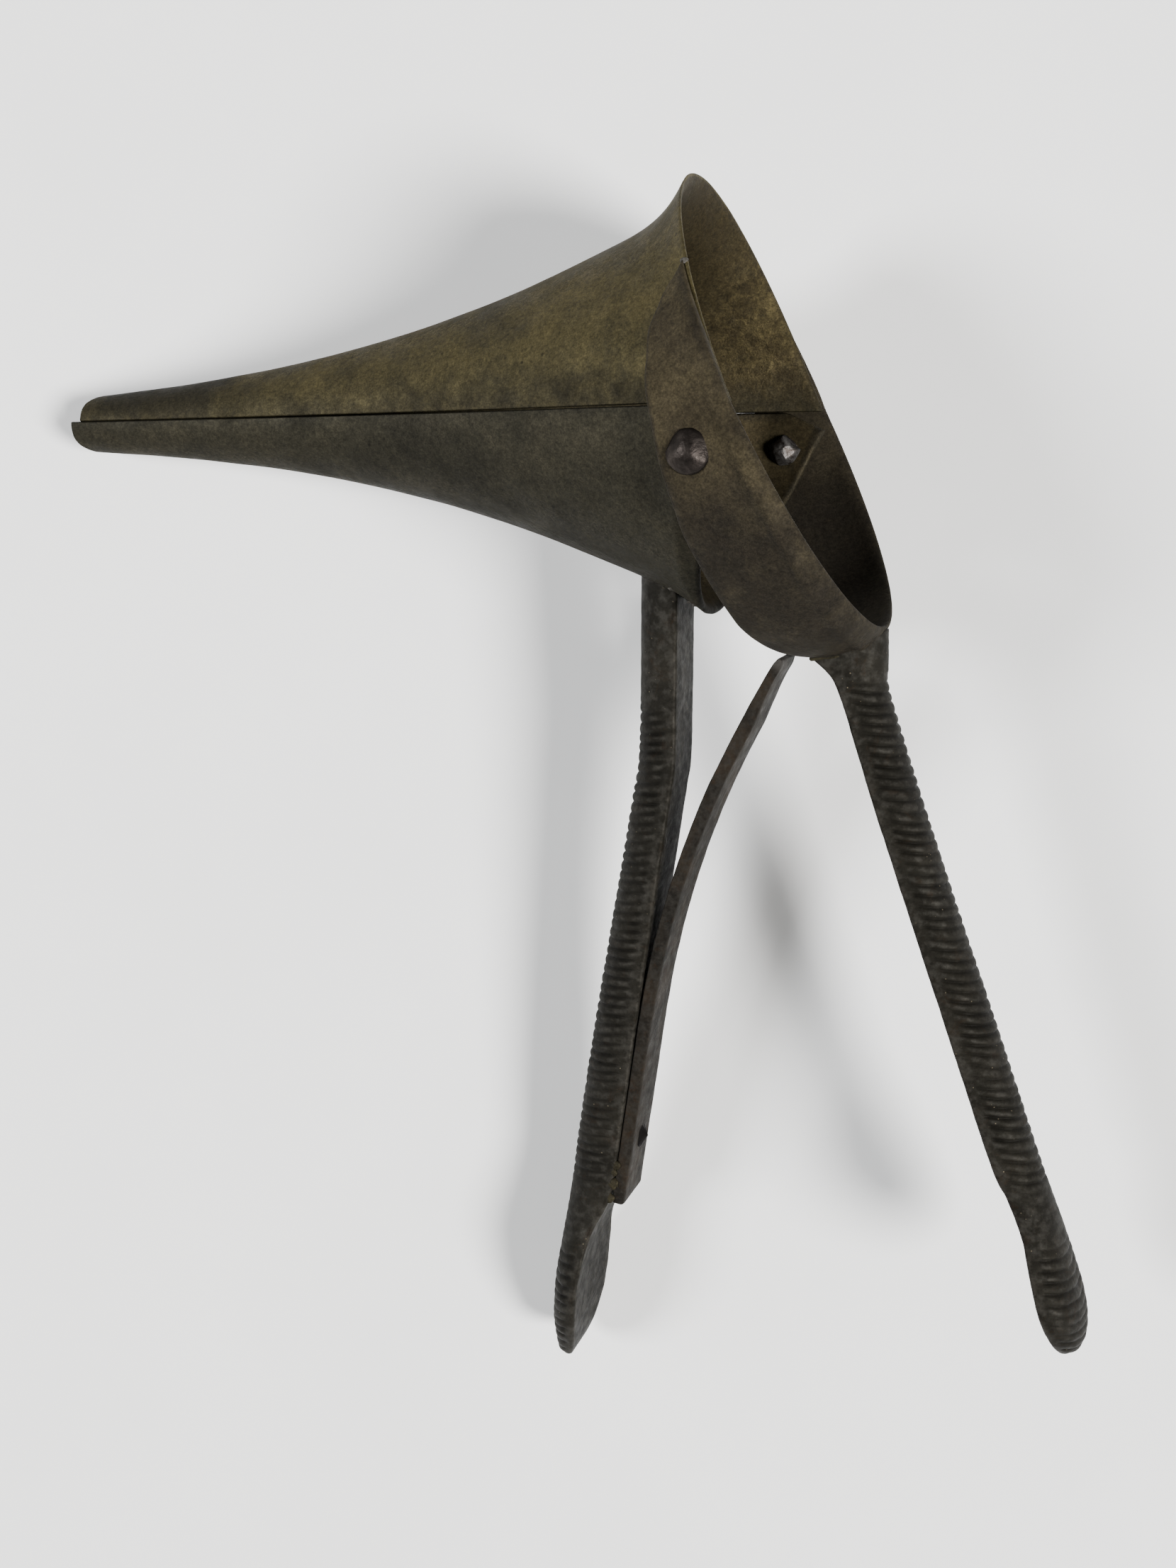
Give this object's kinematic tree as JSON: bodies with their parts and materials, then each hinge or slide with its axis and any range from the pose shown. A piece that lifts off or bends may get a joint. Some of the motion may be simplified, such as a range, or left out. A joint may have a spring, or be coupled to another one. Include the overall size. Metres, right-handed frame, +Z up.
{
  "type": "otoscope",
  "caption": "Hand-held bivalve ear speculum whose trumpet-shaped split funnel opens as its ribbed handles are squeezed against a leaf spring.",
  "frame": {"origin": "centre of the bounding box's underside, on the surface that the instrument lies on", "axes": "the instrument lies on its side: +Z up from that surface, -Y from the funnel towards the ends of the handles, -X towards the funnel's tip"},
  "size_m": [0.1164, 0.1282, 0.0454],
  "materials": {
    "upper_brass": "old brass sheet with an olive-brown patina, satin, mottled, worn yellow in places",
    "lower_brass": "old brass sheet with a dark grey-brown patina, satin",
    "strap_bronze": "brown bronze-coloured patina, smoother and shinier than the valves, with dull scratches",
    "handle_iron": "near-black grey-brown metal, satin, with fine cross ribs and specks of rust",
    "pivot_steel": "dark hammered metal, burnished on its high spots",
    "spring_steel": "dark spring steel with a thin brown rust"
  },
  "bodies": {
    "lower_jaw": {"lower_valve": "lower_brass", "front_handle": "handle_iron", "leaf_spring": "spring_steel", "spring_rivet": "pivot_steel"},
    "upper_jaw": {"upper_valve": "upper_brass", "yoke": "strap_bronze", "rear_handle": "handle_iron", "near_pivot_rivet": "pivot_steel", "far_pivot_rivet": "pivot_steel"}
  },
  "joints": [
    {"name": "jaw_pivot", "type": "hinge", "parent": "lower_jaw", "child": "upper_jaw", "pos_m": [0.01798, 0.03707, 0.02185], "axis": [0.2463, 0.129, -0.9606], "range_deg": [0, 25], "stiffness_Nm_per_rad": 1.5, "springref_deg": -8.59, "deforming": ["leaf_spring"]}
  ]
}
